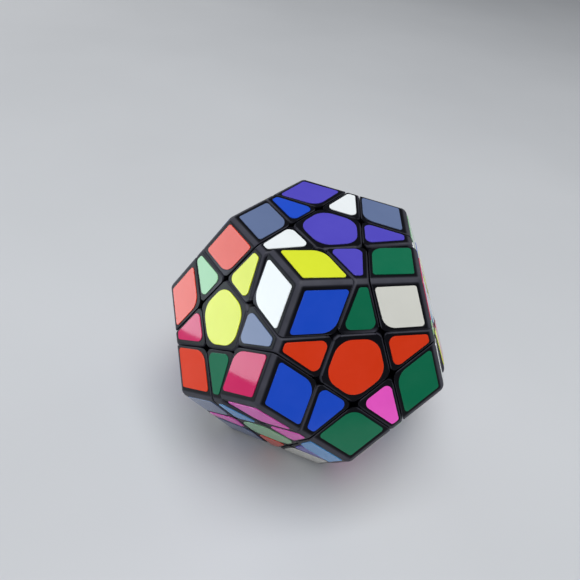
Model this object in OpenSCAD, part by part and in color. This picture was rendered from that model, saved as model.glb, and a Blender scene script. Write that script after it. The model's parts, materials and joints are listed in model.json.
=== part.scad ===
// Dodecahedron twisty puzzle: twelve five-sided layers that turn about a screwed core.
// Each layer is parted from the rest by a flat cut outside and by a round one inside, both
// centred on the layer's own axis, so that any layer can turn while its neighbours stand square.
// The puzzle stands on its bottom face, with its front face towards -Y.

/* [Size] */
// Length of one edge of the dodecahedron
edge_length = 31; // [29:0.5:34]
// Distance from a face's edge to the cut line that runs along it
cut_inset = 13.2; // [12.8:0.1:13.6]
// Turn of the front layer away from its square position, in degrees
front_twist = -2.8; // [-36:0.2:36]

/* [Pieces] */
// Free gap between neighbouring pieces
clearance = 0.3; // [0.2:0.05:0.4]
// Height taken off the dodecahedron's sharp edges
edge_relief = 0.3; // [0.1:0.05:0.5]
// Depth of the outer blocks below the middle of a face
block_depth = 9.5; // [9:0.1:10]
// Thickness of the feet that run under the blocks
foot_thickness = 4.4; // [4:0.1:4.6]
// Thickness of the cap that closes each centre
cap_thickness = 2; // [1.6:0.1:2.4]

/* [Core and fasteners] */
// Radius of the core's ball
core_radius = 11.5; // [10:0.5:13]
// Radius of the core's posts
post_radius = 3.4; // [3:0.1:3.8]
// Radius of the stem under each centre
stem_radius = 4; // [3.8:0.1:4.2]
// Radius of the pocket that holds the screw's head and the spring
pocket_radius = 3.1; // [2.9:0.05:3.2]
// Radius of the screws' shanks
screw_radius = 1.25; // [1:0.05:1.4]
// Thickness of the springs' wire
spring_wire = 0.5; // [0.4:0.05:0.6]

/* [Stickers] */
// Thickness of a sticker
sticker_thickness = 0.2; // [0.1:0.05:0.3]
// Margin between a sticker and the dodecahedron's edges
rim_margin = 1.7; // [1.5:0.1:2.2]
// Margin between an edge's or a corner's sticker and the cut lines
cut_margin = 1.05; // [0.9:0.05:1.5]
// Margin between a centre's sticker and the cut lines
centre_margin = 1.25; // [1:0.05:1.5]

/* [Hidden] */

// Faces: the top, the upper ring from the front turning to the right, and the lower ring,
// where each face lies opposite the upper one in the same place
TOP = 0;
FRONT = 1;
RIGHT = 2;
BACK_RIGHT = 3;
BACK_LEFT = 4;
LEFT = 5;
LOWER_BACK = 6;
LOWER_LEFT = 7;
LOWER_FRONT_LEFT = 8;
LOWER_FRONT_RIGHT = 9;
LOWER_RIGHT = 10;
BOTTOM = 11;
FACES = [TOP : BOTTOM];
OTHER_FACES = [for (f = FACES) if (f != FRONT && f != BACK_LEFT && f != BOTTOM) f];

// Angle between the axes of two faces that share an edge
face_angle = atan(2);
// Turn from one edge of a face to the next
fifth = 360 / 5;
function ring_axis(i) = let (turn = fifth * i - 90)
    [sin(face_angle) * cos(turn), sin(face_angle) * sin(turn), cos(face_angle)];
AXES = [
    [0, 0, 1],
    for (i = [0 : 4]) ring_axis(i),
    for (i = [0 : 4]) -ring_axis(i),
    [0, 0, -1]
];

golden = (1 + sqrt(5)) / 2;
face_height = edge_length * golden * golden / (2 * sqrt(3 - golden));
edge_height = edge_length * golden * golden / 2;
face_apothem = edge_length / (2 * tan(fifth / 2));
cut_height = face_height - cut_inset * sin(face_angle);
cut_apothem = face_apothem - cut_inset;

// Angles from the faces' axes at which the blocks and the feet are parted. The feet's is wider,
// so each piece's foot reaches under the block of the piece that holds it down.
block_angle = 45;
foot_angle = 50;
neck_angle = 43.5;
neck_side_angle = 51.5;
block_inner_radius = face_height - block_depth;
block_mid_radius = (block_inner_radius + cut_height / cos(block_angle)) / 2;
skirt_radius = cut_height / cos(block_angle) - 1.4;
skirt_overlap = 1.5;
skirt_side_angle = 46.5;
foot_outer_radius = block_inner_radius - clearance;
foot_inner_radius = foot_outer_radius - foot_thickness;
neck_overlap = 1;
angle_clearance = clearance / block_inner_radius * 180 / PI;
near = 1.6 * edge_length;
far = 4 * edge_length;

// Heights along a face's axis
cap_floor = face_height - cap_thickness;
stem_foot = foot_inner_radius - 2 * clearance;
post_top = stem_foot - clearance;
spring_seat = stem_foot + 2.2;
washer_thickness = 0.5;
head_height = 1.8;
head_seat = cap_floor - head_height - 2.4;
spring_top = head_seat - washer_thickness;
plug_depth = 1.5;
screw_bore_radius = screw_radius + 0.3;
pilot_radius = screw_radius + 0.05;
head_radius = 2.6;
washer_radius = 2.8;
spring_radius = 2.25;
spring_turns = 4;
screw_length = 18;
screw_tip = 1.5;
slot_width = 0.6;
slot_depth = 1;

round_fn = 96;
plastic = [0.06, 0.06, 0.07];
core_plastic = [0.82, 0.82, 0.8];
steel = [0.7, 0.71, 0.73];

// Sticker colours by letter, and the scramble: one line per face in the order of FACES. A line
// holds the centre, the edges in neighbour order, and the corners in neighbour order.
COLOURS = [
    ["w", [0.92, 0.96, 0.99]], ["y", [0.88, 0.92, 0.21]], ["v", [0.33, 0.29, 0.71]],
    ["b", [0.13, 0.27, 0.71]], ["g", [0.07, 0.40, 0.27]], ["s", [0.45, 0.50, 0.60]],
    ["o", [0.85, 0.25, 0.12]], ["r", [0.80, 0.08, 0.35]], ["p", [0.87, 0.36, 0.73]],
    ["l", [0.62, 0.84, 0.66]], ["c", [0.81, 0.81, 0.78]], ["a", [0.35, 0.60, 0.86]]
];
SCRAMBLE = [
    "vvvwbwgysvs",
    "ogoobpcbgbg",
    "awlbycrlwyr",
    "grrbvgpaoyv",
    "wylslsgalav",
    "yyslrgworoo",
    "rayaocbwylw",
    "bagcsrvolpc",
    "lpapvopassc",
    "sloygprccpb",
    "cscvwblpgyr",
    "prpacwbvasw"
];

function next_to(a, b) = a != b && AXES[a] * AXES[b] > 0.4;
function neighbours(a) = [for (b = FACES) if (next_to(a, b)) b];
function corner_pairs(a) =
    [for (b = neighbours(a)) for (c = neighbours(a)) if (b < c && next_to(b, c)) [b, c]];
function pairs(faces) = [for (a = faces) for (b = faces) if (a < b) [a, b]];
function sum(vectors, i = 0) =
    i < len(vectors) ? vectors[i] + sum(vectors, i + 1) : [0, 0, 0];
function middle_of(faces) = let (v = sum([for (f = faces) AXES[f]])) v / norm(v);
function has(faces, face) = len([for (f = faces) if (f == face) f]) > 0;

// The layer that a piece turns with, or -1 for a piece that stays with the core
function layer_of(faces) =
    has(faces, FRONT) ? FRONT : has(faces, BACK_LEFT) ? BACK_LEFT : has(faces, BOTTOM) ? BOTTOM : -1;

function tilt(axis) = acos(axis.z / norm(axis));
function turn(axis) = atan2(axis.y, axis.x);
// Turn about face a's axis that brings +X towards its neighbour b
function spin(a, b) = let (t = tilt(AXES[a]), s = turn(AXES[a])) atan2(
    AXES[b] * [-sin(s), cos(s), 0],
    AXES[b] * [cos(t) * cos(s), cos(t) * sin(s), -sin(t)]);

// Puts a piece in the puzzle's frame, with the front layer's twist if it belongs to that layer
module placed(faces)
    translate([0, 0, face_height + sticker_thickness])
        rotate(a = has(faces, FRONT) ? front_twist : 0, v = AXES[FRONT])
            children();

module along(axis) rotate([0, tilt(axis), turn(axis)]) children();

// Frame of a face: +Z outward along its axis, and +X towards its neighbour b
module on_face(a, b) along(AXES[a]) rotate([0, 0, spin(a, b)]) children();

// A ball about a point, turned so that its seam lies on the side away from the piece. Each piece
// gives the direction of its own middle as $aim.
module ball_at(centre, radius)
    translate(centre) along($aim * block_mid_radius - centre)
        rotate([0, 90, 0]) sphere(r = radius, $fn = round_fn);

module ball(radius) ball_at([0, 0, 0], radius);

// A ball on a face's axis whose surface stands at right angles to the sphere of the given
// radius about the core, and crosses it at the given angle from the axis
module side_ball(face, angle, radius)
    ball_at(AXES[face] * radius / cos(angle), radius * tan(angle));

// All that lies between two heights along a face's axis
module slab(face, low, high, reach)
    along(AXES[face]) translate([-reach, -reach, low])
        cube([2 * reach, 2 * reach, high - low]);

// Everything below the flat that relieves the dodecahedron's edge between faces a and b
module below_edge_flat(a, b)
    along(AXES[a] + AXES[b])
        translate([-near, -near, 0])
            cube([2 * near, 2 * near, edge_height - edge_relief]);

// The space under the flat cuts that pieces of the layers faces take, so that others keep out
module beside_skirts(faces) intersection() {
    union() {
        for (f = faces) side_ball(f, block_angle + angle_clearance / 2, block_mid_radius);
    }
    ball(skirt_radius + clearance);
}

// The outer block of a piece that belongs to the layers own and to none of the layers others
module block(own, others) difference() {
    intersection() {
        intersection_for (f = own) slab(f, cut_height + clearance / 2, face_height, near);
        intersection_for (pair = pairs(own)) below_edge_flat(pair[0], pair[1]);
    }
    for (f = others) slab(f, cut_height - clearance / 2, far, far);
    if (len(others) > 0) beside_skirts(others);
    ball(skirt_radius - skirt_overlap);
}

// A stretch of a piece's stalk between two radii, held between balls on the faces' axes
module stalk(own, others, own_angle, other_angle, inner, outer)
    let (middle = (inner + outer) / 2) difference() {
        intersection() {
            ball(outer);
            intersection_for (f = own) side_ball(f, own_angle, middle);
        }
        for (f = others) side_ball(f, other_angle, middle);
        ball(inner);
    }

// A corner or an edge: its block, the skirt under it, and the neck that carries the foot
module piece(own, others) placed(own) color(plastic) let ($aim = middle_of(own)) union() {
    block(own, others);
    stalk(own, others, block_angle - angle_clearance / 2, skirt_side_angle,
        block_inner_radius, skirt_radius);
    stalk(own, others, neck_angle, neck_side_angle,
        foot_outer_radius - neck_overlap, block_inner_radius + neck_overlap);
    stalk(own, others, foot_angle - angle_clearance / 2, foot_angle + angle_clearance / 2,
        foot_inner_radius, foot_outer_radius);
}

module corner(a, b, c) piece([a, b, c], []);

module edge(a, b) piece([a, b], [for (f = FACES) if (next_to(f, a) && next_to(f, b)) f]);

// What the neighbours' flat cuts leave between two heights along a face's axis
module between_cuts(face, low, high) intersection() {
    slab(face, low, high, near);
    intersection_for (f = neighbours(face)) slab(f, -near, cut_height - clearance / 2, near);
}

// A centre: its block below the cap, its stem, and the stepped hole for the screw and spring
module centre(face) placed([face]) color(plastic) let ($aim = AXES[face]) difference() {
    union() {
        difference() {
            between_cuts(face, cut_height, cap_floor);
            beside_skirts(neighbours(face));
            ball(block_inner_radius);
        }
        along(AXES[face]) translate([0, 0, stem_foot])
            cylinder(r = stem_radius, h = block_inner_radius + neck_overlap - stem_foot, $fn = round_fn);
    }
    along(AXES[face]) {
        translate([0, 0, spring_seat])
            cylinder(r = pocket_radius, h = face_height, $fn = round_fn);
        translate([0, 0, stem_foot - 1])
            cylinder(r = screw_bore_radius, h = face_height, $fn = round_fn);
    }
}

// The cap that closes a centre: a five-sided plate with a round plug
module cap(face) placed([face]) color(plastic) let ($aim = AXES[face]) {
    between_cuts(face, cap_floor, face_height);
    along(AXES[face]) translate([0, 0, cap_floor - plug_depth])
        cylinder(r = pocket_radius - clearance / 2, h = plug_depth + cap_thickness / 2, $fn = round_fn);
}

// A ball with twelve posts, each with a pilot hole for a screw
module core() placed([TOP]) color(core_plastic) difference() {
    union() {
        sphere(r = core_radius, $fn = round_fn);
        for (axis = AXES) along(axis) translate([0, 0, core_radius / 2])
            cylinder(r = post_radius, h = post_top - core_radius / 2, $fn = round_fn);
    }
    for (axis = AXES) along(axis) translate([0, 0, head_seat - screw_length - 1])
        cylinder(r = pilot_radius, h = screw_length, $fn = round_fn);
}

module screws() placed([TOP]) color(steel) for (axis = AXES) along(axis) difference() {
    rotate_extrude($fn = round_fn) polygon([
        [0, head_seat - screw_length],
        [screw_radius / 3, head_seat - screw_length],
        [screw_radius, head_seat - screw_length + screw_tip],
        [screw_radius, head_seat],
        [head_radius, head_seat],
        [head_radius, head_seat + head_height / 2],
        [head_radius * 0.8, head_seat + head_height],
        [0, head_seat + head_height]
    ]);
    for (a = [0, 90]) rotate([0, 0, a])
        translate([-head_radius * 0.6, -slot_width / 2, head_seat + head_height - slot_depth])
            cube([head_radius * 1.2, slot_width, 2 * slot_depth]);
}

module washers() placed([TOP]) color(steel) for (axis = AXES) along(axis)
    translate([0, 0, spring_top]) difference() {
        cylinder(r = washer_radius, h = washer_thickness, $fn = round_fn);
        translate([0, 0, -1])
            cylinder(r = screw_bore_radius, h = washer_thickness + 2, $fn = round_fn);
    }

// Points and faces of one spring, swept along a helix as a four-sided wire
wire_steps = 8 * spring_turns;
spring_low = spring_seat + spring_wire / 2 + 0.05;
spring_high = spring_top - spring_wire / 2 - 0.05;
spring_points = [for (i = [0 : wire_steps]) for (k = [0 : 3]) let (
    a = 360 * spring_turns * i / wire_steps,
    r = spring_radius + spring_wire / 2 * cos(90 * k),
    z = spring_low + (spring_high - spring_low) * i / wire_steps
) [r * cos(a), r * sin(a), z + spring_wire / 2 * sin(90 * k)]];
spring_faces = concat(
    [[0, 1, 2, 3], [for (k = [3 : -1 : 0]) 4 * wire_steps + k]],
    [for (i = [0 : wire_steps - 1]) for (k = [0 : 3]) let (n = (k + 1) % 4)
        for (f = [[0, 1, 2], [0, 2, 3]]) let (q = [4 * i + k, 4 * i + 4 + k, 4 * i + 4 + n, 4 * i + n])
            [for (j = f) q[j]]]
);
module springs() placed([TOP]) color(steel) for (axis = AXES) along(axis)
    polyhedron(points = spring_points, faces = spring_faces);

// Where the line at distance p in direction a meets the line at distance q in direction b
function meet(a, p, b, q) =
    [p * sin(b) - q * sin(a), q * cos(a) - p * cos(b)] / sin(b - a);

// A closed outline, given as [corner, radius] pairs in counter-clockwise order, made round
arc_steps = 4;
function rounded(outline) = [for (i = [0 : len(outline) - 1]) let (
    count = len(outline),
    here = outline[i][0],
    radius = outline[i][1],
    back = outline[(i + count - 1) % count][0] - here,
    ahead = outline[(i + 1) % count][0] - here,
    u = back / norm(back),
    v = ahead / norm(ahead),
    half = acos(u * v) / 2,
    middle = here + (u + v) / norm(u + v) * radius / sin(half),
    start = here + u * radius / tan(half) - middle,
    from = atan2(start.y, start.x)
) for (k = [0 : arc_steps]) middle + radius * [
    cos(from + (180 - 2 * half) * k / arc_steps),
    sin(from + (180 - 2 * half) * k / arc_steps)
]];

sticker_rim = face_apothem - rim_margin;
sticker_inner = cut_apothem + cut_margin;
edge_side = cut_apothem - cut_margin;
centre_rim = cut_apothem - centre_margin;
centre_round = 4.8;
edge_round = 1.6;
edge_tip_round = 0.8;
corner_round = 4.2;
corner_tip_round = 0.7;

centre_outline = rounded([for (k = [0 : 4])
    [meet(fifth * k, centre_rim, fifth * (k + 1), centre_rim), centre_round]]);
edge_outline = rounded([
    [meet(-fifth, edge_side, 0, sticker_inner), edge_round],
    [meet(-fifth, edge_side, 0, sticker_rim), edge_tip_round],
    [meet(fifth, edge_side, 0, sticker_rim), edge_tip_round],
    [meet(fifth, edge_side, 0, sticker_inner), edge_round]
]);
corner_outline = rounded([
    [meet(0, sticker_inner, fifth, sticker_inner), corner_round],
    [meet(0, sticker_rim, fifth, sticker_inner), corner_tip_round],
    [meet(0, sticker_rim, fifth, sticker_rim), corner_tip_round],
    [meet(0, sticker_inner, fifth, sticker_rim), corner_tip_round]
]);

function colour_of(letter) = [for (c = COLOURS) if (c[0] == letter) c[1]][0];

// One sticker on face a, with its outline's +X towards the neighbour b
module sticker(faces, a, b, letter, outline)
    placed(faces) color(colour_of(letter)) on_face(a, b) translate([0, 0, face_height])
        linear_extrude(height = sticker_thickness) polygon(outline);

// All stickers of the pieces that turn with one layer, or that stay with the core
module stickers(layer) for (a = FACES) {
    if (layer_of([a]) == layer)
        sticker([a], a, neighbours(a)[0], SCRAMBLE[a][0], centre_outline);
    for (k = [0 : 4]) let (b = neighbours(a)[k])
        if (layer_of([a, b]) == layer)
            sticker([a, b], a, b, SCRAMBLE[a][1 + k], edge_outline);
    for (k = [0 : 4]) let (
        pair = corner_pairs(a)[k],
        first = cross(AXES[pair[0]], AXES[pair[1]]) * AXES[a] > 0 ? pair[0] : pair[1]
    )
        if (layer_of([a, pair[0], pair[1]]) == layer)
            sticker([a, pair[0], pair[1]], a, first, SCRAMBLE[a][6 + k], corner_outline);
}

core();
screws();
washers();
springs();

centre(FRONT);  // centre_front
centre(BACK_LEFT);  // centre_back_left
centre(BOTTOM);  // centre_bottom
for (f = OTHER_FACES) centre(f);  // centres_other_faces
cap(FRONT);  // cap_front
cap(BACK_LEFT);  // cap_back_left
cap(BOTTOM);  // cap_bottom
for (f = OTHER_FACES) cap(f);  // caps_other_faces

edge(FRONT, TOP);  // edge_front_top
edge(FRONT, RIGHT);  // edge_front_right
edge(FRONT, LEFT);  // edge_front_left
edge(FRONT, LOWER_FRONT_RIGHT);  // edge_front_lower_right
edge(FRONT, LOWER_FRONT_LEFT);  // edge_front_lower_left
edge(BACK_LEFT, TOP);  // edge_back_left_top
edge(BACK_LEFT, BACK_RIGHT);  // edge_back_left_back
edge(BACK_LEFT, LEFT);  // edge_back_left_left
edge(BACK_LEFT, LOWER_BACK);  // edge_back_left_lower_back
edge(BACK_LEFT, LOWER_LEFT);  // edge_back_left_lower_left
edge(BOTTOM, LOWER_FRONT_LEFT);  // edge_bottom_front_left
edge(BOTTOM, LOWER_FRONT_RIGHT);  // edge_bottom_front_right
edge(BOTTOM, LOWER_RIGHT);  // edge_bottom_right
edge(BOTTOM, LOWER_BACK);  // edge_bottom_back
edge(BOTTOM, LOWER_LEFT);  // edge_bottom_left
edge(TOP, RIGHT);  // edge_top_right
edge(TOP, BACK_RIGHT);  // edge_top_back_right
edge(TOP, LEFT);  // edge_top_left
edge(RIGHT, BACK_RIGHT);  // edge_right_back
union() {  // edges_under_right
    edge(RIGHT, LOWER_FRONT_RIGHT);
    edge(RIGHT, LOWER_RIGHT);
}
union() {  // edges_under_back_right
    edge(BACK_RIGHT, LOWER_RIGHT);
    edge(BACK_RIGHT, LOWER_BACK);
}
union() {  // edges_under_left
    edge(LEFT, LOWER_LEFT);
    edge(LEFT, LOWER_FRONT_LEFT);
}
for (f = [LOWER_BACK : LOWER_RIGHT])  // edges_lower_ring
    edge(f, f == LOWER_RIGHT ? LOWER_BACK : f + 1);

corner(FRONT, TOP, LEFT);  // corner_front_top_left
corner(FRONT, TOP, RIGHT);  // corner_front_top_right
corner(FRONT, RIGHT, LOWER_FRONT_RIGHT);  // corner_front_right
corner(FRONT, LEFT, LOWER_FRONT_LEFT);  // corner_front_left
corner(FRONT, LOWER_FRONT_LEFT, LOWER_FRONT_RIGHT);  // corner_front_lowest
corner(BACK_LEFT, TOP, BACK_RIGHT);  // corner_back_left_top_back
corner(BACK_LEFT, TOP, LEFT);  // corner_back_left_top_left
corner(BACK_LEFT, BACK_RIGHT, LOWER_BACK);  // corner_back_left_back
corner(BACK_LEFT, LEFT, LOWER_LEFT);  // corner_back_left_left
corner(BACK_LEFT, LOWER_BACK, LOWER_LEFT);  // corner_back_left_lowest
corner(BOTTOM, LOWER_FRONT_LEFT, LOWER_FRONT_RIGHT);  // corner_bottom_front
corner(BOTTOM, LOWER_FRONT_RIGHT, LOWER_RIGHT);  // corner_bottom_right
corner(BOTTOM, LOWER_RIGHT, LOWER_BACK);  // corner_bottom_back_right
corner(BOTTOM, LOWER_BACK, LOWER_LEFT);  // corner_bottom_back_left
corner(BOTTOM, LOWER_LEFT, LOWER_FRONT_LEFT);  // corner_bottom_left
corner(TOP, RIGHT, BACK_RIGHT);  // corner_top_right
corner(RIGHT, BACK_RIGHT, LOWER_RIGHT);  // corner_right
corner(RIGHT, LOWER_FRONT_RIGHT, LOWER_RIGHT);  // corner_lower_right
corner(BACK_RIGHT, LOWER_RIGHT, LOWER_BACK);  // corner_lower_back_right
corner(LEFT, LOWER_LEFT, LOWER_FRONT_LEFT);  // corner_lower_left

stickers(FRONT);  // stickers_front
stickers(BACK_LEFT);  // stickers_back_left
stickers(BOTTOM);  // stickers_bottom
stickers(-1);  // stickers_other_pieces
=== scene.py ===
"""Looks of the dodecahedron twisty puzzle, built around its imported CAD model.

Every moulded piece is made once, in millimetres about the puzzle's middle, and is then turned into
each of its places. The stickers follow the same scramble as the CAD model.
"""

import json
import math
import random

import bmesh
import bpy
from mathutils import Matrix, Quaternion, Vector

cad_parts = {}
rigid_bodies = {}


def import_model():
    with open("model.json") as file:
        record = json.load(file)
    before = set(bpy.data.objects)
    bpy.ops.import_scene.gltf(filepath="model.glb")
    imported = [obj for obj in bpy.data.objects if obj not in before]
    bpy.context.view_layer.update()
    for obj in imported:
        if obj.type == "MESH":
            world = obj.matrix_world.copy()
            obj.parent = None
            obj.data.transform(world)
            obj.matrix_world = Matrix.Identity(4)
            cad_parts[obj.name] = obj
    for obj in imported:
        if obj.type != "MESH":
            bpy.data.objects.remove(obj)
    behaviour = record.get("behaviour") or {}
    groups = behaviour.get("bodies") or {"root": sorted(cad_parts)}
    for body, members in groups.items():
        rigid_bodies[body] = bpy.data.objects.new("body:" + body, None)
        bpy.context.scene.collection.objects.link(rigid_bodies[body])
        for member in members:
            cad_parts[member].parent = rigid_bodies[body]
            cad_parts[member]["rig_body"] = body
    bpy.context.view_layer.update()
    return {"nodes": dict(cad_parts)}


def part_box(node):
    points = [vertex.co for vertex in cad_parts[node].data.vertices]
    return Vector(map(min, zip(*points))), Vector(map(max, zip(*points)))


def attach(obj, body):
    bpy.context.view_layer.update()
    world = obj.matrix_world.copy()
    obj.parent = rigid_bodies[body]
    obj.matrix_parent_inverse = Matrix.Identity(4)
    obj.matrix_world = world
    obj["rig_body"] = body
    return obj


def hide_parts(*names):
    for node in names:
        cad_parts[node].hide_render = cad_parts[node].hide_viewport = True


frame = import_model()

# ---------------------------------------------------------------- sizes, in millimetres

MM = 0.001
GOLDEN = (1 + math.sqrt(5)) / 2
FIFTH = math.tau / 5
FACE_ANGLE = math.atan(2)

lowest_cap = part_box("cap_bottom")[0].z / MM
highest_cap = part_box("caps_other_faces")[1].z / MM
FACE_HEIGHT = (highest_cap - lowest_cap) / 2
MIDDLE = Vector((0, 0, (highest_cap + lowest_cap) / 2))
EDGE_LENGTH = FACE_HEIGHT * 2 * math.sqrt(3 - GOLDEN) / GOLDEN ** 2

CUT_INSET = 13.2
GAP = 0.3
FRONT_TWIST = math.radians(-2.8)
FACE_APOTHEM = EDGE_LENGTH / (2 * math.tan(FIFTH / 2))
CUT_HEIGHT = FACE_HEIGHT - CUT_INSET * math.sin(FACE_ANGLE)
CUT_APOTHEM = FACE_APOTHEM - CUT_INSET

# Angles from a face's axis, in degrees, at which the skirts and feet under the blocks are parted
BLOCK_ANGLE = 45
FOOT_ANGLE = 50
SKIRT_SIDE_ANGLE = 46.5
NECK_ANGLE = 43.5
NECK_SIDE_ANGLE = 51.5

# Radii of the skirts, necks and feet about the middle
BLOCK_INNER = FACE_HEIGHT - 9.5
SKIRT_OUTER = CUT_HEIGHT / math.cos(math.radians(BLOCK_ANGLE)) - 1.4
NECK_INNER = BLOCK_INNER - 1.3
NECK_OUTER = BLOCK_INNER + 1
FOOT_OUTER = BLOCK_INNER - GAP
FOOT_INNER = FOOT_OUTER - 4.4
HALF_GAP_ANGLE = math.degrees(GAP / BLOCK_INNER) / 2

# The centres and their caps
CAP_FLOOR = FACE_HEIGHT - 2
CENTRE_FLOOR = 29.3
STEM_FOOT = FOOT_INNER - 2 * GAP
STEM_RADIUS = 4
POCKET_RADIUS = 3.1
POCKET_FLOOR = STEM_FOOT + 2.2
BORE_RADIUS = 1.55
PLUG_DEPTH = 1.5
OVERLAP = 1

# The screws' heads, the washers and the springs in the centres' pockets
HEAD_ROOM = 2.4
HEAD_HEIGHT = 1.8
WASHER_THICKNESS = 0.5
SPRING_WIRE = 0.5
SPRING_RADIUS = 2.25
SPRING_TURNS = 4
SPRING_PLAY = 0.05
SPRING_LOW = POCKET_FLOOR + SPRING_PLAY + SPRING_WIRE / 2
SPRING_TOP = CAP_FLOOR - HEAD_ROOM - HEAD_HEIGHT - WASHER_THICKNESS - SPRING_PLAY
SPRING_HIGH = SPRING_TOP - SPRING_WIRE / 2

# Roundings, given as how far they reach from the sharp edge, and the flat steps that make them up
OUTER_ROUND = 1.25
INNER_ROUND = 1.7
EDGE_INNER_ROUND = 2.0
RIM_ROUND = 0.42
FOOT_ROUND = 0.3
OUTER_STEPS = 6
INNER_STEPS = 5
RIM_STEPS = 3

# Stickers, and their margins from the dodecahedron's edges and from the cuts
STICKER_THICKNESS = 0.2
STICKER_SUNK = 0.03
STICKER_SOFT_RIM = 0.07
RIM_MARGIN = 1.7
CUT_MARGIN = 1.05
CENTRE_MARGIN = 1.25

# How far, and by how many degrees, a sticker may lie off its place
MOST_SHIFT = 0.3
MOST_TURN = 1.4

# ---------------------------------------------------------------- faces and places

FACE_NAMES = (
    "top", "front", "right", "back_right", "back_left", "left",
    "lower_back", "lower_left", "lower_front_left", "lower_front_right", "lower_right", "bottom",
)
FRONT = FACE_NAMES.index("front")
FACES = range(len(FACE_NAMES))


def ring_axis(i):
    turn = FIFTH * i - math.pi / 2
    flat = math.sin(FACE_ANGLE)
    return Vector((flat * math.cos(turn), flat * math.sin(turn), math.cos(FACE_ANGLE)))


UPPER_RING = [ring_axis(i) for i in range(5)]
AXES = [Vector((0, 0, 1))] + UPPER_RING + [-axis for axis in UPPER_RING] + [Vector((0, 0, -1))]


def next_to(a, b):
    """Whether two faces share an edge. The cosine between their axes is then 0.447, and it is
    below zero for all other pairs."""
    return a != b and AXES[a].dot(AXES[b]) > 0


def neighbours(a):
    return [b for b in FACES if next_to(a, b)]


def beside(a, b):
    """The two faces next to both a and b."""
    return [c for c in FACES if next_to(a, c) and next_to(b, c)]


EDGES = [(a, b) for a in FACES for b in FACES if a < b and next_to(a, b)]
CORNERS = [(a, b, c) for a, b in EDGES for c in beside(a, b) if b < c]


def middle_of(faces):
    return sum((AXES[f] for f in faces), Vector()).normalized()


def basis(faces):
    """Three directions that a piece's faces give, as a right-handed matrix."""
    directions = [AXES[f] for f in faces]
    if len(directions) == 1:
        directions.append(AXES[neighbours(faces[0])[0]])
    if len(directions) == 2:
        directions.append(directions[0].cross(directions[1]))
    made = Matrix(directions).transposed()
    if made.determinant() < 0:
        directions[0], directions[1] = directions[1], directions[0]
        made = Matrix(directions).transposed()
    return made


def twist_of(faces):
    return Matrix.Rotation(FRONT_TWIST if FRONT in faces else 0, 4, AXES[FRONT])


def into_frame(faces):
    """From millimetres about the middle to the frame, with the front layer's twist."""
    return Matrix.Scale(MM, 4) @ Matrix.Translation(MIDDLE) @ twist_of(faces)


def placing(first, faces):
    """Turns a shape that was made for the faces first into its place at other faces."""
    turn = basis(faces) @ basis(first).inverted()
    return into_frame(faces) @ turn.to_4x4()


def node_at(prefix, faces):
    """The CAD node of that kind that reaches furthest towards the middle of these faces."""
    direction = twist_of(faces) @ middle_of(faces)
    names = [name for name in frame["nodes"] if name.startswith(prefix)]
    return max(names, key=lambda name: max(
        (vertex.co - MIDDLE * MM).dot(direction) for vertex in frame["nodes"][name].data.vertices))


# ---------------------------------------------------------------- mesh tools

FLAT, WALL = 0, 1


def new_object(name, mesh):
    piece = bpy.data.objects.new(name, mesh)
    bpy.context.scene.collection.objects.link(piece)
    return piece


def to_mesh(bm, name):
    mesh = bpy.data.meshes.new(name)
    bm.to_mesh(mesh)
    bm.free()
    return mesh


def cut_solid(planes):
    """A convex solid, cut out of a large cube by (normal, distance, kind) planes."""
    bm = bmesh.new()
    bmesh.ops.create_cube(bm, size=6 * FACE_HEIGHT)
    for normal, distance, kind in planes:
        everything = bm.verts[:] + bm.edges[:] + bm.faces[:]
        cut = bmesh.ops.bisect_plane(
            bm, geom=everything, dist=1e-5, plane_co=normal * distance, plane_no=normal,
            clear_outer=True)
        rim = [e for e in cut["geom_cut"] if isinstance(e, bmesh.types.BMEdge)]
        for face in bmesh.ops.holes_fill(bm, edges=rim)["faces"]:
            face.material_index = kind
    bmesh.ops.recalc_face_normals(bm, faces=bm.faces)
    return bm


def round_edges(bm, reach, segments, wanted):
    edges = [e for e in bm.edges if len(e.link_faces) == 2 and wanted(e)]
    bmesh.ops.bevel(
        bm, geom=edges, offset=reach, segments=segments, profile=0.5, affect="EDGES",
        offset_type="OFFSET", clamp_overlap=False)


def both_are(edge, kind):
    return all(face.material_index == kind for face in edge.link_faces)


def at_rim(edge):
    return edge.link_faces[0].material_index != edge.link_faces[1].material_index


def is_sharp(edge):
    return edge.calc_face_angle(0) > math.radians(40)


def is_level(edge, axis):
    """Whether one of the edge's faces lies square to the axis."""
    return any(abs(face.normal.dot(axis)) > 0.9 for face in edge.link_faces)


def rounded_block(planes, inner_round):
    """A block whose outer edges, inner corners and rims are rounded, in that order."""
    bm = cut_solid(planes)
    round_edges(bm, OUTER_ROUND, OUTER_STEPS, lambda edge: both_are(edge, FLAT))
    round_edges(
        bm, inner_round, INNER_STEPS, lambda edge: both_are(edge, WALL) and is_sharp(edge))
    round_edges(bm, RIM_ROUND, RIM_STEPS, at_rim)
    return bm


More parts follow.
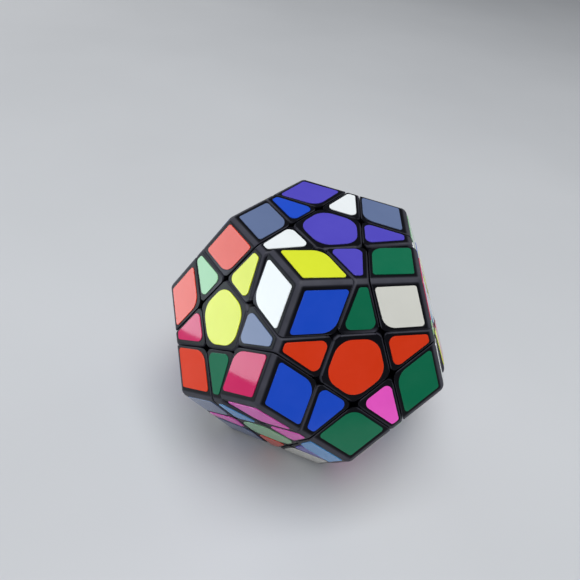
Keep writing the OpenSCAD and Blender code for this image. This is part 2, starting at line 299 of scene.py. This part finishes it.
def wedge(own, others, own_angle, other_angle, inner, outer):
    """A solid between two radii about the middle, within own_angle of the axes of the faces own
    and beyond other_angle from those of the faces others."""
    sides, rings = 72, 5
    widest, halvings = math.radians(60), 24
    middle = middle_of(own or others)
    across = middle.orthogonal().normalized()
    limits = [(AXES[f], math.cos(math.radians(own_angle)), 1) for f in own]
    limits += [(AXES[f], math.cos(math.radians(other_angle)), -1) for f in others]

    def towards(turn, tilt):
        return Matrix.Rotation(turn, 3, middle) @ Matrix.Rotation(tilt, 3, across) @ middle

    def is_inside(direction):
        return all((direction.dot(axis) - level) * side >= 0 for axis, level, side in limits)

    def reach(turn):
        low, high = 0, widest
        for _ in range(halvings):
            half = (low + high) / 2
            low, high = (half, high) if is_inside(towards(turn, half)) else (low, half)
        return low

    bm = bmesh.new()
    reaches = [reach(math.tau * i / sides) for i in range(sides)]
    layers = []
    for radius in (inner, outer):
        tip = bm.verts.new(middle * radius)
        circles = [[
            bm.verts.new(towards(math.tau * i / sides, reaches[i] * k / rings) * radius)
            for i in range(sides)] for k in range(1, rings + 1)]
        layers.append((tip, circles))
    for tip, circles in layers:
        for i in range(sides):
            j = (i + 1) % sides
            bm.faces.new((tip, circles[0][i], circles[0][j]))
            for low, high in zip(circles, circles[1:]):
                bm.faces.new((low[i], high[i], high[j], low[j]))
    bottom, top = layers[0][1][-1], layers[1][1][-1]
    for i in range(sides):
        j = (i + 1) % sides
        bm.faces.new((bottom[i], bottom[j], top[j], top[i]))
    bmesh.ops.recalc_face_normals(bm, faces=bm.faces)
    return bm


def onto(axis):
    """Turns +Z onto the axis."""
    return Vector((0, 0, 1)).rotation_difference(axis).to_matrix().to_4x4()


def cylinder(axis, radius, low, high, sides=48):
    bm = bmesh.new()
    bmesh.ops.create_cone(
        bm, cap_ends=True, segments=sides, radius1=radius, radius2=radius, depth=high - low)
    bm.transform(onto(axis) @ Matrix.Translation((0, 0, (low + high) / 2)))
    return bm


def combined(first, steps):
    """The mesh of a solid after a row of (operation, solid) steps."""
    base = new_object("base", to_mesh(first, "base"))
    tools = []
    for operation, solid in steps:
        tool = new_object("tool", to_mesh(solid, "tool"))
        change = base.modifiers.new("combine", "BOOLEAN")
        change.operation = operation
        change.solver = "MANIFOLD"
        change.object = tool
        tools.append(tool)
    graph = bpy.context.evaluated_depsgraph_get()
    mesh = bpy.data.meshes.new_from_object(base.evaluated_get(graph), depsgraph=graph)
    for spent in [base] + tools:
        bpy.data.objects.remove(spent)
    return mesh


# ---------------------------------------------------------------- the moulded pieces


def own_planes(faces):
    planes = [(AXES[f], FACE_HEIGHT, FLAT) for f in faces]
    return planes + [(-AXES[f], -(CUT_HEIGHT + GAP / 2), WALL) for f in faces]


def other_planes(faces):
    return [(AXES[f], CUT_HEIGHT - GAP / 2, WALL) for f in faces]


def room_for_centre(face):
    return wedge([face], [], BLOCK_ANGLE + HALF_GAP_ANGLE, 0, FOOT_INNER, SKIRT_OUTER + GAP)


def corner_or_edge(own, others):
    """A corner or an edge at the faces own. The faces others are the two beside an edge."""
    inner_round = EDGE_INNER_ROUND if others else INNER_ROUND
    block = rounded_block(own_planes(own) + other_planes(others), inner_round)
    skirt = wedge(
        own, others, BLOCK_ANGLE - HALF_GAP_ANGLE, SKIRT_SIDE_ANGLE, BLOCK_INNER, SKIRT_OUTER)
    neck = wedge(own, others, NECK_ANGLE, NECK_SIDE_ANGLE, NECK_INNER, NECK_OUTER)
    foot = wedge(
        own, others, FOOT_ANGLE - HALF_GAP_ANGLE, FOOT_ANGLE + HALF_GAP_ANGLE,
        FOOT_INNER, FOOT_OUTER)
    for solid in (skirt, foot):
        round_edges(solid, FOOT_ROUND, RIM_STEPS, is_sharp)
    steps = [("DIFFERENCE", room_for_centre(f)) for f in others]
    return combined(block, steps + [("UNION", skirt), ("UNION", neck), ("UNION", foot)])


def centre(face):
    axis, around = AXES[face], neighbours(face)
    planes = [(axis, CAP_FLOOR, FLAT), (-axis, -CENTRE_FLOOR, FLAT)] + other_planes(around)
    block = cut_solid(planes)
    round_edges(block, INNER_ROUND, INNER_STEPS, lambda edge: both_are(edge, WALL))
    foot = wedge([], around, 0, BLOCK_ANGLE + HALF_GAP_ANGLE, BLOCK_INNER, CENTRE_FLOOR + OVERLAP)
    stem = cylinder(axis, STEM_RADIUS, STEM_FOOT, BLOCK_INNER + 2 * OVERLAP)
    pocket = cylinder(axis, POCKET_RADIUS, POCKET_FLOOR, FACE_HEIGHT)
    bore = cylinder(axis, BORE_RADIUS, STEM_FOOT - OVERLAP, POCKET_FLOOR + OVERLAP)
    return combined(block, [
        ("UNION", foot), ("UNION", stem), ("DIFFERENCE", pocket), ("DIFFERENCE", bore)])


def cap(own):
    axis = AXES[own]
    planes = [(axis, FACE_HEIGHT, FLAT), (-axis, -CAP_FLOOR, WALL)] + other_planes(neighbours(own))
    plate = cut_solid(planes)
    round_edges(
        plate, INNER_ROUND, INNER_STEPS,
        lambda edge: both_are(edge, WALL) and not is_level(edge, axis))
    round_edges(plate, RIM_ROUND, RIM_STEPS, at_rim)
    plug = cylinder(axis, POCKET_RADIUS - GAP / 2, CAP_FLOOR - PLUG_DEPTH, CAP_FLOOR + OVERLAP)
    return combined(plate, [("UNION", plug)])


# ---------------------------------------------------------------- stickers

COLOUR_NAMES = {
    "w": "white", "y": "yellow", "v": "purple", "b": "blue", "g": "dark_green", "s": "grey",
    "o": "orange", "r": "crimson", "p": "pink", "l": "light_green", "c": "cream",
    "a": "light_blue",
}

# One line per face: its centre, its edges in neighbour order and its corners in neighbour order
SCRAMBLE = (
    "vvvwbwgysvs",
    "ogoobpcbgbg",
    "awlbycrlwyr",
    "grrbvgpaoyv",
    "wylslsgalav",
    "yyslrgworoo",
    "rayaocbwylw",
    "bagcsrvolpc",
    "lpapvopassc",
    "sloygprccpb",
    "cscvwblpgyr",
    "prpacwbvasw",
)


def meet(a, p, b, q):
    """Where the line at distance p in direction a meets the line at distance q in direction b."""
    return Vector((p * math.sin(b) - q * math.sin(a), q * math.cos(a) - p * math.cos(b))) \
        / math.sin(b - a)


def rounded_outline(outline, steps=9):
    """A closed outline of (corner, radius) pairs, counter-clockwise, with arcs at its corners."""
    points = []
    for i, (here, radius) in enumerate(outline):
        back = (outline[i - 1][0] - here).normalized()
        ahead = (outline[(i + 1) % len(outline)][0] - here).normalized()
        half = math.acos(back.dot(ahead)) / 2
        middle = here + (back + ahead).normalized() * radius / math.sin(half)
        start = here + back * radius / math.tan(half) - middle
        first = math.atan2(start.y, start.x)
        for k in range(steps):
            turn = first + (math.pi - 2 * half) * k / (steps - 1)
            points.append(middle + radius * Vector((math.cos(turn), math.sin(turn))))
    return points


# Distances of the stickers' sides from the middle of a face, and their corners' radii
STICKER_RIM = FACE_APOTHEM - RIM_MARGIN
STICKER_INNER = CUT_APOTHEM + CUT_MARGIN
EDGE_SIDE = CUT_APOTHEM - CUT_MARGIN
CENTRE_RIM = CUT_APOTHEM - CENTRE_MARGIN
CENTRE_ROUND = 4.8
EDGE_ROUND = 1.6
EDGE_TIP_ROUND = 0.8
CORNER_ROUND = 4.2
CORNER_TIP_ROUND = 0.7

CENTRE_OUTLINE = rounded_outline([
    (meet(FIFTH * k, CENTRE_RIM, FIFTH * (k + 1), CENTRE_RIM), CENTRE_ROUND) for k in range(5)])
EDGE_OUTLINE = rounded_outline([
    (meet(-FIFTH, EDGE_SIDE, 0, STICKER_INNER), EDGE_ROUND),
    (meet(-FIFTH, EDGE_SIDE, 0, STICKER_RIM), EDGE_TIP_ROUND),
    (meet(FIFTH, EDGE_SIDE, 0, STICKER_RIM), EDGE_TIP_ROUND),
    (meet(FIFTH, EDGE_SIDE, 0, STICKER_INNER), EDGE_ROUND),
])
CORNER_OUTLINE = rounded_outline([
    (meet(0, STICKER_INNER, FIFTH, STICKER_INNER), CORNER_ROUND),
    (meet(0, STICKER_RIM, FIFTH, STICKER_INNER), CORNER_TIP_ROUND),
    (meet(0, STICKER_RIM, FIFTH, STICKER_RIM), CORNER_TIP_ROUND),
    (meet(0, STICKER_INNER, FIFTH, STICKER_RIM), CORNER_TIP_ROUND),
])


def on_face(a, b):
    """The frame of face a: Z outward, and X towards its neighbour b."""
    z = AXES[a]
    x = (AXES[b] - z * AXES[b].dot(z)).normalized()
    return Matrix((x, z.cross(x), z)).transposed().to_4x4()


def add_sticker(bm, faces, a, b, outline, luck):
    """Adds one sticker to bm, laid on face a by hand and so never quite straight."""
    middle = sum(outline, Vector((0, 0))) / len(outline)
    straight = Matrix.Translation(middle.to_3d())
    across = luck.uniform(-MOST_SHIFT, MOST_SHIFT)
    along = luck.uniform(-MOST_SHIFT, MOST_SHIFT)
    shift = Matrix.Translation((across, along, 0))
    turn = Matrix.Rotation(math.radians(luck.uniform(-MOST_TURN, MOST_TURN)), 4, "Z")
    place = into_frame(faces) @ on_face(a, b) @ shift @ straight @ turn @ straight.inverted()
    top = FACE_HEIGHT + STICKER_THICKNESS
    levels = (
        (FACE_HEIGHT - STICKER_SUNK, 0),
        (top - STICKER_SOFT_RIM, 0),
        (top - STICKER_SOFT_RIM / 3, STICKER_SOFT_RIM / 3),
        (top, STICKER_SOFT_RIM),
    )
    loops = []
    for height, inset in levels:
        inner = [point + (middle - point).normalized() * inset for point in outline]
        loops.append([bm.verts.new(place @ Vector((*point, height))) for point in inner])
    count = len(outline)
    for low, high in zip(loops, loops[1:]):
        for i in range(count):
            bm.faces.new((low[i], low[(i + 1) % count], high[(i + 1) % count], high[i]))
    bm.faces.new(loops[-1])
    bm.faces.new(list(reversed(loops[0])))


# ---------------------------------------------------------------- materials


def new_material(name):
    material = bpy.data.materials.new(name)
    material.use_nodes = True
    tree = material.node_tree
    return material, tree, tree.nodes["Principled BSDF"]


def link(tree, source, target):
    tree.links.new(source, target)


def node(tree, kind, **settings):
    made = tree.nodes.new(kind)
    for key, value in settings.items():
        setattr(made, key, value)
    return made


def noise(tree, scale, detail=3, roughness=0.5):
    """A noise texture in the object's own space, which is the frame's, in metres."""
    place = node(tree, "ShaderNodeTexCoord")
    made = node(tree, "ShaderNodeTexNoise")
    made.inputs["Scale"].default_value = scale
    made.inputs["Detail"].default_value = detail
    made.inputs["Roughness"].default_value = roughness
    link(tree, place.outputs["Object"], made.inputs["Vector"])
    return made.outputs["Fac"]


def spread(tree, source, low, high, from_low=0.3, from_high=0.7):
    """The source's middle range, spread over low to high."""
    made = node(tree, "ShaderNodeMapRange")
    made.inputs["From Min"].default_value = from_low
    made.inputs["From Max"].default_value = from_high
    made.inputs["To Min"].default_value = low
    made.inputs["To Max"].default_value = high
    link(tree, source, made.inputs["Value"])
    return made.outputs["Result"]


def blend_colours(tree, share, low, high):
    made = node(tree, "ShaderNodeMix", data_type="RGBA")
    made.inputs["A"].default_value = (*low, 1)
    made.inputs["B"].default_value = (*high, 1)
    link(tree, share, made.inputs["Factor"])
    return made.outputs["Result"]


def math_node(tree, operation, first, second):
    made = node(tree, "ShaderNodeMath", operation=operation)
    for socket, value in zip(made.inputs, (first, second)):
        if isinstance(value, (int, float)):
            socket.default_value = value
        else:
            link(tree, value, socket)
    return made.outputs["Value"]


def bump(tree, shader, height, distance, strength=1.0):
    made = node(tree, "ShaderNodeBump")
    made.inputs["Distance"].default_value = distance
    made.inputs["Strength"].default_value = strength
    link(tree, height, made.inputs["Height"])
    link(tree, made.outputs["Normal"], shader.inputs["Normal"])


def black_plastic():
    material, tree, shader = new_material("black_plastic")
    smudges = noise(tree, 90, 4)
    grain = noise(tree, 1800, 2)
    depth = node(tree, "ShaderNodeAttribute", attribute_name="depth").outputs["Fac"]
    # Painted sheen: the base colour turns a lighter blue-grey on the roundings and rims. This
    # stands in for light glancing off them, and noise makes it a little patchy like wear.
    rounded = math_node(
        tree, "MULTIPLY", spread(tree, depth, 0, 1, 0, 0.12), spread(tree, depth, 1, 0, 0.4, 0.8))
    sheen_and_wear = math_node(
        tree, "MULTIPLY", rounded, spread(tree, noise(tree, 260, 3), 0.75, 1))
    link(tree, blend_colours(tree, sheen_and_wear, (0.003, 0.003, 0.005), (0.052, 0.052, 0.068)),
         shader.inputs["Base Color"])
    gloss = math_node(tree, "ADD", spread(tree, smudges, 0.30, 0.42), math_node(
        tree, "MULTIPLY", sheen_and_wear, 0.08))
    link(tree, gloss, shader.inputs["Roughness"])
    shader.inputs["Specular IOR Level"].default_value = 0.15
    bump(tree, shader, math_node(tree, "ADD", math_node(tree, "MULTIPLY", grain, 0.3), smudges),
         0.00002)
    return material


# Base colours of the vinyl, in linear light
VINYL = {
    "white": (0.86, 0.89, 0.90), "yellow": (0.72, 0.79, 0.03), "purple": (0.085, 0.066, 0.51),
    "blue": (0.011, 0.072, 0.58), "dark_green": (0.002, 0.148, 0.068),
    "grey": (0.125, 0.172, 0.315), "orange": (0.73, 0.040, 0.006), "crimson": (0.62, 0.009, 0.11),
    "pink": (0.92, 0.105, 0.60), "light_green": (0.28, 0.57, 0.31), "cream": (0.75, 0.74, 0.67),
    "light_blue": (0.10, 0.36, 0.76),
}


def vinyl(name, colour):
    material, tree, shader = new_material("vinyl_" + name)
    faded = tuple(channel * 0.96 + 0.006 for channel in colour)
    deep = tuple(channel * 0.93 for channel in colour)
    link(tree, blend_colours(tree, spread(tree, noise(tree, 120, 4), 0, 1), deep, faded),
         shader.inputs["Base Color"])
    link(tree, spread(tree, noise(tree, 160, 4), 0.035, 0.07), shader.inputs["Roughness"])
    shader.inputs["Specular IOR Level"].default_value = 0.38
    waves = noise(tree, 110, 1)
    grain = noise(tree, 2600, 2)
    bump(tree, shader, math_node(tree, "ADD", waves, math_node(tree, "MULTIPLY", grain, 0.04)),
         0.00003)
    return material


def moulded_grey():
    material, tree, shader = new_material("core_plastic")
    link(tree, blend_colours(tree, spread(tree, noise(tree, 200, 4), 0, 1), (0.52, 0.52, 0.49),
                             (0.62, 0.62, 0.60)), shader.inputs["Base Color"])
    link(tree, spread(tree, noise(tree, 300, 3), 0.42, 0.56), shader.inputs["Roughness"])
    bump(tree, shader, noise(tree, 1500, 3), 0.00003)
    return material


def plated_steel():
    material, tree, shader = new_material("plated_steel")
    shader.inputs["Metallic"].default_value = 1
    link(tree, blend_colours(tree, spread(tree, noise(tree, 400, 4), 0, 1), (0.50, 0.50, 0.49),
                             (0.63, 0.64, 0.66)), shader.inputs["Base Color"])
    link(tree, spread(tree, noise(tree, 700, 3), 0.24, 0.42), shader.inputs["Roughness"])
    bump(tree, shader, noise(tree, 2500, 2), 0.00002)
    return material


# ---------------------------------------------------------------- building the pieces

BLACK = black_plastic()
SMOOTH_ANGLE = math.radians(32)


def mark_depth(mesh):
    """Stores how far each vertex lies below the outer faces, by which the roundings of the plastic
    are painted a lighter grey: a painted sheen of light, made a little patchy like wear."""
    depth = mesh.attributes.new("depth", "FLOAT", "POINT")
    for vertex in mesh.vertices:
        depth.data[vertex.index].value = FACE_HEIGHT - max(vertex.co.dot(axis) for axis in AXES)


def shaded(mesh, material):
    """The mesh with its material, smooth over its roundings and flat on its large faces."""
    mesh.materials.clear()
    mesh.materials.append(material)
    for polygon in mesh.polygons:
        polygon.use_smooth = True
        polygon.material_index = 0
    mesh.set_sharp_from_angle(angle=SMOOTH_ANGLE)
    holder = new_object("holder", mesh)
    weigh = holder.modifiers.new("weigh", "WEIGHTED_NORMAL")
    weigh.keep_sharp = True
    weigh.weight = 100
    graph = bpy.context.evaluated_depsgraph_get()
    made = bpy.data.meshes.new_from_object(holder.evaluated_get(graph), depsgraph=graph)
    bpy.data.objects.remove(holder)
    return made


def place_pieces(kind, prefix, first, shape, places):
    """Puts a copy of one moulded shape in each of its places, in the CAD node's stead."""
    mark_depth(shape)
    shape = shaded(shape, BLACK)
    for faces in places:
        mesh = shape.copy()
        mesh.transform(placing(first, faces))
        name = "_".join([kind, "piece"] + [FACE_NAMES[f] for f in faces])
        piece = new_object(name, mesh)
        node_name = node_at(prefix, faces)
        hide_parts(node_name)
        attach(piece, frame["nodes"][node_name]["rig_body"])


singles = [(face,) for face in FACES]
place_pieces("corner", "corner", CORNERS[0], corner_or_edge(CORNERS[0], []), CORNERS)
place_pieces("edge", "edge", EDGES[0], corner_or_edge(EDGES[0], beside(*EDGES[0])), EDGES)
place_pieces("centre", "centre", singles[0], centre(0), singles)
place_pieces("cap", "cap", singles[0], cap(0), singles)


def body_at(faces):
    """The body that a piece with these faces rides on."""
    prefix = ("centre", "edge", "corner")[len(faces) - 1]
    return frame["nodes"][node_at(prefix, faces)]["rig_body"]


def corner_order(a):
    """Pairs of faces that make a corner with face a, in neighbour order."""
    around = neighbours(a)
    return [(b, c) for b in around for c in around if b < c and next_to(b, c)]


def lay_stickers():
    luck = random.Random(12)
    heaps = {}
    for a in FACES:
        letters = SCRAMBLE[a]
        jobs = [((a,), neighbours(a)[0], CENTRE_OUTLINE)]
        jobs += [((a, b), b, EDGE_OUTLINE) for b in neighbours(a)]
        for b, c in corner_order(a):
            first = b if AXES[b].cross(AXES[c]).dot(AXES[a]) > 0 else c
            jobs.append(((a, b, c), first, CORNER_OUTLINE))
        for letter, (faces, b, outline) in zip(letters, jobs):
            key = (body_at(faces), COLOUR_NAMES[letter])
            if key not in heaps:
                heaps[key] = bmesh.new()
            add_sticker(heaps[key], faces, a, b, outline, luck)
    return heaps


STICKER_NODES = {
    "main": "stickers_other_pieces", "front_layer": "stickers_front",
    "back_left_layer": "stickers_back_left", "bottom_layer": "stickers_bottom",
}
vinyls = {name: vinyl(name, colour) for name, colour in VINYL.items()}
for (body, colour), heap in lay_stickers().items():
    bmesh.ops.recalc_face_normals(heap, faces=heap.faces)
    name = f"stickers_{colour}_{body}"
    piece = new_object(name, shaded(to_mesh(heap, name), vinyls[colour]))
    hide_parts(STICKER_NODES[body])
    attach(piece, body)


# ---------------------------------------------------------------- core, screws, washers, springs


def finish_node(name, material):
    part = frame["nodes"][name]
    part.data.materials.clear()
    part.data.materials.append(material)


steel = plated_steel()
finish_node("core", moulded_grey())
finish_node("screws", steel)
finish_node("washers", steel)


def add_spring(bm, axis):
    """Adds a spring of round wire, whose end turns lie closer than those between."""
    steps, sides = 26 * SPRING_TURNS, 10
    closeness = 0.35
    turn = into_frame([]) @ onto(axis)
    rings = []
    for i in range(steps + 1):
        share = i / steps
        angle = math.tau * SPRING_TURNS * share
        eased = share - closeness * math.sin(math.tau * share) / math.tau
        height = SPRING_LOW + (SPRING_HIGH - SPRING_LOW) * eased
        out = Vector((math.cos(angle), math.sin(angle), 0))
        up = Vector((0, 0, 1))
        ring = []
        for k in range(sides):
            around = math.tau * k / sides
            from_wire = (out * math.cos(around) + up * math.sin(around)) * SPRING_WIRE / 2
            ring.append(bm.verts.new(turn @ (out * SPRING_RADIUS + up * height + from_wire)))
        rings.append(ring)
    for low, high in zip(rings, rings[1:]):
        for k in range(sides):
            n = (k + 1) % sides
            bm.faces.new((low[k], low[n], high[n], high[k]))
    bm.faces.new(rings[0])
    bm.faces.new(rings[-1])


wires = bmesh.new()
for axis in AXES:
    add_spring(wires, axis)
bmesh.ops.recalc_face_normals(wires, faces=wires.faces)
spring_piece = new_object(
    "springs_round_wire", shaded(to_mesh(wires, "springs_round_wire"), steel))
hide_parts("springs")
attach(spring_piece, frame["nodes"]["springs"]["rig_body"])

# ---------------------------------------------------------------- floor, light and camera


def make_floor():
    bm = bmesh.new()
    bmesh.ops.create_grid(bm, x_segments=1, y_segments=1, size=3)
    floor = new_object("floor", to_mesh(bm, "floor"))
    material, tree, shader = new_material("floor")
    link(tree, blend_colours(tree, spread(tree, noise(tree, 6, 3), 0, 1), (0.57, 0.58, 0.60),
                             (0.61, 0.62, 0.64)), shader.inputs["Base Color"])
    shader.inputs["Roughness"].default_value = 0.8
    floor.data.materials.append(material)
    return floor


def area_light(name, azimuth, elevation, distance, size, power, colour=(1, 1, 1), roll=0):
    """A soft light that looks at the puzzle from a direction, azimuth 0 being from -Y. Its size
    is a width and a height."""
    a, e = math.radians(azimuth), math.radians(elevation)
    back = Vector((math.sin(a) * math.cos(e), -math.cos(a) * math.cos(e), math.sin(e)))
    lamp = bpy.data.lights.new(name, "AREA")
    lamp.shape = "RECTANGLE"
    lamp.size, lamp.size_y = size
    lamp.energy = power
    lamp.color = colour
    light = bpy.data.objects.new(name, lamp)
    light.visible_camera = False
    light.location = MIDDLE * MM + back * distance
    light.rotation_mode = "QUATERNION"
    light.rotation_quaternion = (-back).to_track_quat("-Z", "Y") @ Quaternion(
        (0, 0, 1), math.radians(roll))
    bpy.context.scene.collection.objects.link(light)
    return light


def keep_light_off(light, thing):
    """Leaves one thing out of what the light falls on."""
    receivers = bpy.data.collections.new(light.name + "_receivers")
    receivers.objects.link(thing)
    receivers.collection_objects[0].light_linking.link_state = "EXCLUDE"
    light.light_linking.receiver_collection = receivers


def make_world():
    world = bpy.data.worlds.new("studio")
    world.use_nodes = True
    background = world.node_tree.nodes["Background"]
    background.inputs["Color"].default_value = (0.80, 0.86, 0.95, 1)
    background.inputs["Strength"].default_value = 0.10
    bpy.context.scene.world = world


def make_camera():
    heading, pitch, roll = math.radians(20.25), math.radians(40.0), math.radians(8.5)
    place = Vector((-50.4, -113.1, 150.3)) * MM
    camera = bpy.data.objects.new("camera", bpy.data.cameras.new("camera"))
    camera.data.lens = 34.88
    camera.data.sensor_width = 36
    camera.data.clip_start = 0.01
    turn = Matrix.Rotation(-heading, 4, "Z") @ Matrix.Rotation(math.pi / 2 - pitch, 4, "X")
    camera.matrix_world = Matrix.Translation(place) @ turn @ Matrix.Rotation(roll, 4, "Z")
    bpy.context.scene.collection.objects.link(camera)
    bpy.context.scene.camera = camera


floor = make_floor()
area_light(
    "key", azimuth=-30, elevation=38, distance=0.9, size=(0.6, 0.6), power=2.5,
    colour=(0.97, 0.98, 1))
area_light(
    "overhead", azimuth=0, elevation=82, distance=0.8, size=(0.6, 0.6), power=5.5,
    colour=(0.97, 0.99, 1))
# A small panel close to the left face, whose reflection lies over most of that face's stickers
left_panel = area_light(
    "left_panel", azimuth=-107.5, elevation=4.2, distance=0.181, size=(0.105, 0.0675),
    power=0.0925, colour=(0.82, 0.93, 1), roll=25)
keep_light_off(left_panel, floor)
area_light("right_fill", azimuth=100, elevation=25, distance=1.2, size=(0.6, 0.6), power=1.3)
area_light("back_fill", azimuth=-160, elevation=20, distance=0.9, size=(0.5, 0.5), power=1.6)
make_world()
make_camera()
bpy.context.scene.view_settings.view_transform = "Standard"
